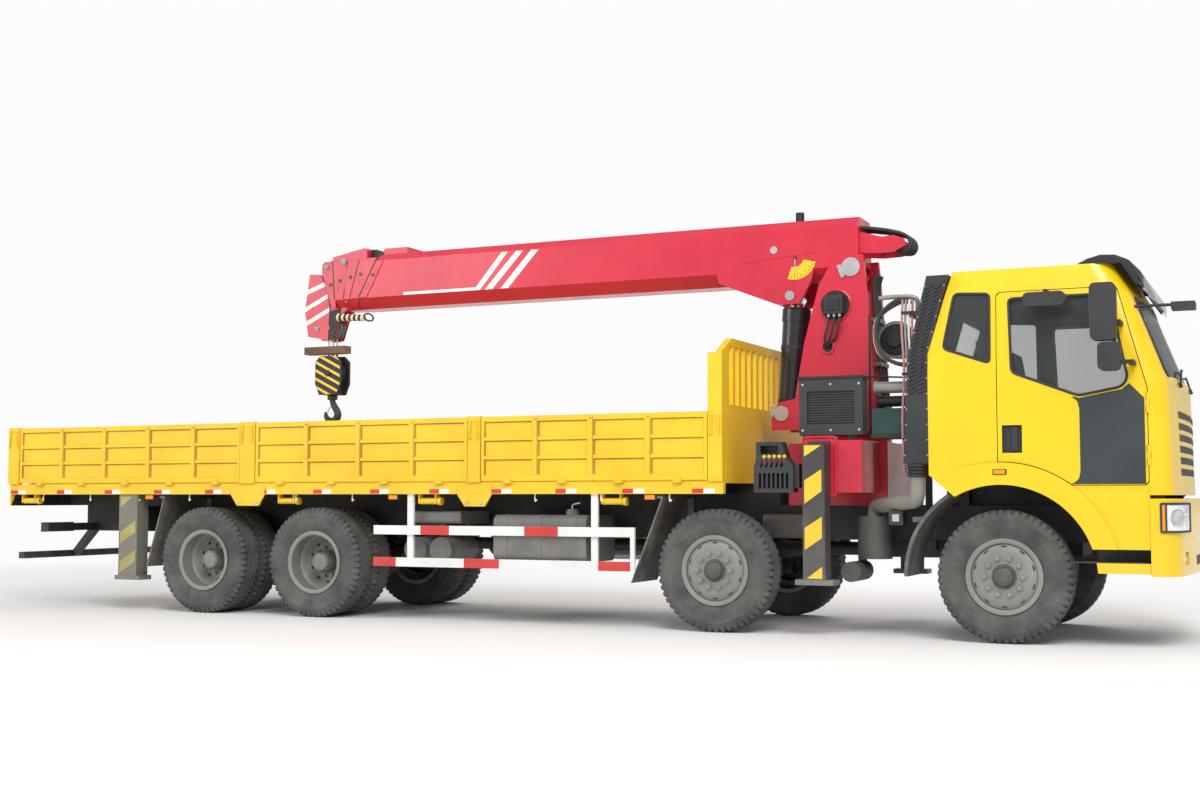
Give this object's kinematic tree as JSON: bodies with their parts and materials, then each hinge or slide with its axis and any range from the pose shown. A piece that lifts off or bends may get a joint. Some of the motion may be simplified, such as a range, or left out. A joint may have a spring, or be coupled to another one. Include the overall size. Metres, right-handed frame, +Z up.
{
  "type": "truck-mounted crane",
  "caption": "Four-axle dropside flatbed lorry with a slewing telescopic boom crane and outriggers between the tilting cab and the load bed",
  "frame": {"origin": "on the ground, at the middle of the overall length and width", "axes": "+X forward towards the cab, +Y to the vehicle's left, +Z up"},
  "size_m": [12.049, 3, 3.7998],
  "materials": {
    "cab_paint": "gloss",
    "bed_paint": "satin",
    "crane_paint": "gloss",
    "dark_steel": "satin",
    "grey_steel": "satin",
    "guard_paint": "satin",
    "wheel": "matte",
    "dark_plastic": "matte",
    "lamp": "gloss",
    "glass": "gloss",
    "seat_cloth": "matte",
    "rod_chrome": "gloss",
    "hook_steel": "matte"
  },
  "bodies": {
    "chassis": {"chassis_frame": "dark_steel", "front_axles": "dark_steel", "rear_bogie": "dark_steel", "driveline": "grey_steel", "side_tanks": "dark_steel", "side_guards": "guard_paint", "mudguards": "dark_plastic", "front_bumper": "cab_paint", "lamps": "lamp", "bed_floor": "bed_paint", "bed_headboard": "bed_paint", "bed_posts": "bed_paint", "crane_base": "crane_paint", "crane_fittings": "dark_steel"},
    "cab": {"cab_shell": "cab_paint", "cab_glass": "glass", "cab_interior": "seat_cloth", "cab_trim": "dark_plastic"},
    "column": {"crane_column": "crane_paint"},
    "luff_barrel": {"luff_barrel": "dark_steel"},
    "luff_rod": {"luff_rod": "rod_chrome"},
    "boom": {"boom_base": "crane_paint"},
    "tailgate": {"tailgate": "bed_paint"},
    "hook_block": {"hook_block": "crane_paint"},
    "hook": {"hook": "hook_steel"},
    "boom_2": {"boom_section_2": "crane_paint"},
    "boom_3": {"boom_section_3": "crane_paint"},
    "boom_4": {"boom_section_4": "crane_paint"},
    "boom_5": {"boom_section_5": "crane_paint"},
    "door_right": {"door_right": "cab_paint", "door_right_glass": "glass", "door_right_mirrors": "dark_plastic"},
    "door_left": {"door_left": "cab_paint", "door_left_glass": "glass", "door_left_mirrors": "dark_plastic"},
    "knuckle_1_right": {"knuckle_1_right": "dark_steel"},
    "wheel_1_right": {"wheel_1_right": "wheel"},
    "knuckle_1_left": {"knuckle_1_left": "dark_steel"},
    "wheel_1_left": {"wheel_1_left": "wheel"},
    "knuckle_2_right": {"knuckle_2_right": "dark_steel"},
    "wheel_2_right": {"wheel_2_right": "wheel"},
    "knuckle_2_left": {"knuckle_2_left": "dark_steel"},
    "wheel_2_left": {"wheel_2_left": "wheel"},
    "wheel_3_right": {"wheel_3_right": "wheel"},
    "wheel_3_left": {"wheel_3_left": "wheel"},
    "wheel_4_right": {"wheel_4_right": "wheel"},
    "wheel_4_left": {"wheel_4_left": "wheel"},
    "board_right_front": {"board_right_front": "bed_paint"},
    "board_right_middle": {"board_right_middle": "bed_paint"},
    "board_right_rear": {"board_right_rear": "bed_paint"},
    "board_left_front": {"board_left_front": "bed_paint"},
    "board_left_middle": {"board_left_middle": "bed_paint"},
    "board_left_rear": {"board_left_rear": "bed_paint"},
    "outrigger_beam_right": {"outrigger_beam_right": "dark_steel"},
    "jack_leg_front_right": {"jack_leg_front_right": "dark_steel"},
    "outrigger_beam_left": {"outrigger_beam_left": "dark_steel"},
    "jack_leg_front_left": {"jack_leg_front_left": "dark_steel"},
    "jack_leg_rear_right": {"jack_leg_rear_right": "dark_steel"},
    "jack_leg_rear_left": {"jack_leg_rear_left": "dark_steel"}
  },
  "joints": [
    {"name": "cab_tilt", "type": "hinge", "parent": "chassis", "child": "cab", "pos_m": [5.78, 0, 1.2], "axis": [0, 1, 0], "range_deg": [0, 50]},
    {"name": "door_right_swing", "type": "hinge", "parent": "cab", "child": "door_right", "pos_m": [5.667, -1.228, 2], "axis": [0, 0, 1], "range_deg": [0, 70]},
    {"name": "door_left_swing", "type": "hinge", "parent": "cab", "child": "door_left", "pos_m": [5.667, 1.228, 2], "axis": [0, 0, -1], "range_deg": [0, 70]},
    {"name": "steer_1_right", "type": "hinge", "parent": "chassis", "child": "knuckle_1_right", "pos_m": [4.55, -0.91, 0.53], "axis": [0, 0, -1], "range_deg": [-35, 35]},
    {"name": "roll_1_right", "type": "hinge", "parent": "knuckle_1_right", "child": "wheel_1_right", "pos_m": [4.55, -1.01, 0.53], "axis": [0, 1, 0], "continuous": true},
    {"name": "steer_1_left", "type": "hinge", "parent": "chassis", "child": "knuckle_1_left", "pos_m": [4.55, 0.91, 0.53], "axis": [0, 0, -1], "range_deg": [-35, 35]},
    {"name": "roll_1_left", "type": "hinge", "parent": "knuckle_1_left", "child": "wheel_1_left", "pos_m": [4.55, 1.01, 0.53], "axis": [0, 1, 0], "continuous": true},
    {"name": "steer_2_right", "type": "hinge", "parent": "chassis", "child": "knuckle_2_right", "pos_m": [2.1, -0.91, 0.53], "axis": [0, 0, -1], "range_deg": [-24.5, 24.5]},
    {"name": "roll_2_right", "type": "hinge", "parent": "knuckle_2_right", "child": "wheel_2_right", "pos_m": [2.1, -1.01, 0.53], "axis": [0, 1, 0], "continuous": true},
    {"name": "steer_2_left", "type": "hinge", "parent": "chassis", "child": "knuckle_2_left", "pos_m": [2.1, 0.91, 0.53], "axis": [0, 0, -1], "range_deg": [-24.5, 24.5]},
    {"name": "roll_2_left", "type": "hinge", "parent": "knuckle_2_left", "child": "wheel_2_left", "pos_m": [2.1, 1.01, 0.53], "axis": [0, 1, 0], "continuous": true},
    {"name": "roll_3_right", "type": "hinge", "parent": "chassis", "child": "wheel_3_right", "pos_m": [-2.02, -0.93, 0.53], "axis": [0, 1, 0], "continuous": true},
    {"name": "roll_3_left", "type": "hinge", "parent": "chassis", "child": "wheel_3_left", "pos_m": [-2.02, 0.93, 0.53], "axis": [0, 1, 0], "continuous": true},
    {"name": "roll_4_right", "type": "hinge", "parent": "chassis", "child": "wheel_4_right", "pos_m": [-3.37, -0.93, 0.53], "axis": [0, 1, 0], "continuous": true},
    {"name": "roll_4_left", "type": "hinge", "parent": "chassis", "child": "wheel_4_left", "pos_m": [-3.37, 0.93, 0.53], "axis": [0, 1, 0], "continuous": true},
    {"name": "board_right_front_drop", "type": "hinge", "parent": "chassis", "child": "board_right_front", "pos_m": [0.97, -1.25, 1.296], "axis": [1, 0, 0], "range_deg": [0, 180]},
    {"name": "board_right_middle_drop", "type": "hinge", "parent": "chassis", "child": "board_right_middle", "pos_m": [-1.5, -1.25, 1.296], "axis": [1, 0, 0], "range_deg": [0, 180]},
    {"name": "board_right_rear_drop", "type": "hinge", "parent": "chassis", "child": "board_right_rear", "pos_m": [-4.4, -1.25, 1.296], "axis": [1, 0, 0], "range_deg": [0, 180]},
    {"name": "board_left_front_drop", "type": "hinge", "parent": "chassis", "child": "board_left_front", "pos_m": [0.97, 1.25, 1.296], "axis": [1, 0, 0], "range_deg": [-180, 0]},
    {"name": "board_left_middle_drop", "type": "hinge", "parent": "chassis", "child": "board_left_middle", "pos_m": [-1.5, 1.25, 1.296], "axis": [1, 0, 0], "range_deg": [-180, 0]},
    {"name": "board_left_rear_drop", "type": "hinge", "parent": "chassis", "child": "board_left_rear", "pos_m": [-4.4, 1.25, 1.296], "axis": [1, 0, 0], "range_deg": [-180, 0]},
    {"name": "tailgate_drop", "type": "hinge", "parent": "chassis", "child": "tailgate", "pos_m": [-6.02, 0, 1.296], "axis": [0, -1, 0], "range_deg": [0, 180]},
    {"name": "slew", "type": "hinge", "parent": "chassis", "child": "column", "pos_m": [2.97, 0, 1.73], "axis": [0, 0, 1], "continuous": true},
    {"name": "luff", "type": "hinge", "parent": "column", "child": "boom", "pos_m": [3.1, 0, 3.22], "axis": [0, 1, 0], "range_deg": [0, 75]},
    {"name": "luff_barrel_swing", "type": "hinge", "parent": "column", "child": "luff_barrel", "pos_m": [2.44, 0, 1.92], "axis": [0, 1, 0], "range_deg": [0, 5.63]},
    {"name": "luff_stroke", "type": "slide", "parent": "luff_barrel", "child": "luff_rod", "axis": [0.0647, 0, 0.9979], "range_m": [0, 0.7559]},
    {"name": "telescope_2", "type": "slide", "parent": "boom", "child": "boom_2", "axis": [-1, 0, 0], "range_m": [0, 2.9]},
    {"name": "telescope_3", "type": "slide", "parent": "boom_2", "child": "boom_3", "axis": [-1, 0, 0], "range_m": [0, 2.9]},
    {"name": "telescope_4", "type": "slide", "parent": "boom_3", "child": "boom_4", "axis": [-1, 0, 0], "range_m": [0, 2.9]},
    {"name": "telescope_5", "type": "slide", "parent": "boom_4", "child": "boom_5", "axis": [-1, 0, 0], "range_m": [0, 2.9]},
    {"name": "hook_plumb", "type": "hinge", "parent": "boom_5", "child": "hook_block", "pos_m": [-2.67, 0, 2.96], "axis": [0, 1, 0], "range_deg": [-75.1, 0]},
    {"name": "hook_swivel", "type": "hinge", "parent": "hook_block", "child": "hook", "pos_m": [-2.67, 0, 2.2], "axis": [0, 0, 1], "continuous": true},
    {"name": "outrigger_beam_right_slide", "type": "slide", "parent": "chassis", "child": "outrigger_beam_right", "axis": [0, -1, 0], "range_m": [0, 1.4]},
    {"name": "jack_leg_front_right_drop", "type": "slide", "parent": "outrigger_beam_right", "child": "jack_leg_front_right", "axis": [0, 0, -1], "range_m": [0, 0.41]},
    {"name": "outrigger_beam_left_slide", "type": "slide", "parent": "chassis", "child": "outrigger_beam_left", "axis": [0, 1, 0], "range_m": [0, 1.4]},
    {"name": "jack_leg_front_left_drop", "type": "slide", "parent": "outrigger_beam_left", "child": "jack_leg_front_left", "axis": [0, 0, -1], "range_m": [0, 0.41]},
    {"name": "jack_leg_rear_right_drop", "type": "slide", "parent": "chassis", "child": "jack_leg_rear_right", "axis": [0, 0, -1], "range_m": [0, 0.29]},
    {"name": "jack_leg_rear_left_drop", "type": "slide", "parent": "chassis", "child": "jack_leg_rear_left", "axis": [0, 0, -1], "range_m": [0, 0.29]}
  ],
  "couplings": [
    {"joint": "steer_1_left", "follows": "steer_1_right", "ratio": 1},
    {"joint": "steer_2_right", "follows": "steer_1_right", "ratio": 0.7},
    {"joint": "steer_2_left", "follows": "steer_1_right", "ratio": 0.7},
    {"joint": "luff_barrel_swing", "follows": "luff", "ratio": 0.073693},
    {"joint": "luff_stroke", "follows": "luff", "m_per_rad": 0.5767},
    {"joint": "telescope_3", "follows": "telescope_2", "ratio": 1},
    {"joint": "telescope_4", "follows": "telescope_2", "ratio": 1},
    {"joint": "telescope_5", "follows": "telescope_2", "ratio": 1},
    {"joint": "hook_plumb", "follows": "luff", "ratio": -1}
  ]
}
